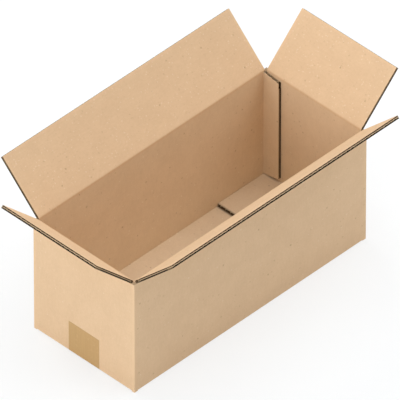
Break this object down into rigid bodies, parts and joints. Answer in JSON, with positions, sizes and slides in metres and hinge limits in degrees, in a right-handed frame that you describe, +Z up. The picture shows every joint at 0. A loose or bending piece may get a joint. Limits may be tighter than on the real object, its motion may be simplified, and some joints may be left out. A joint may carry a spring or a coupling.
{
  "type": "open cardboard box",
  "caption": "Regular slotted carton of corrugated board, taped underneath, with its long and short top flaps standing open.",
  "frame": {"origin": "on the ground, under the middle of the base", "axes": "+Z up out of the open top; X along the length of the carton, with the tape's ends on the two end walls; Y along its width"},
  "size_m": [0.5044, 0.2824, 0.227],
  "materials": {
    "board": "matt kraft paper facing",
    "flap_board": "matt kraft paper facing, open flutes at the cut edges",
    "tape": "smooth tan packing tape, slight sheen"
  },
  "bodies": {
    "carton": {"carton": "board", "tape": "tape"},
    "flap_front": {"flap_front": "flap_board"},
    "flap_back": {"flap_back": "flap_board"},
    "flap_left": {"flap_left": "flap_board"},
    "flap_right": {"flap_right": "flap_board"}
  },
  "joints": [
    {"name": "fold_front", "type": "hinge", "parent": "carton", "child": "flap_front", "pos_m": [0, -0.083, 0.166], "axis": [-1, 0, 0], "range_deg": [-133, 135]},
    {"name": "fold_back", "type": "hinge", "parent": "carton", "child": "flap_back", "pos_m": [0, 0.083, 0.166], "axis": [1, 0, 0], "range_deg": [-133, 135]},
    {"name": "fold_left", "type": "hinge", "parent": "carton", "child": "flap_left", "pos_m": [-0.194, 0, 0.16348], "axis": [0, 1, 0], "range_deg": [-135, 135]},
    {"name": "fold_right", "type": "hinge", "parent": "carton", "child": "flap_right", "pos_m": [0.194, 0, 0.16348], "axis": [0, -1, 0], "range_deg": [-135, 135]}
  ]
}
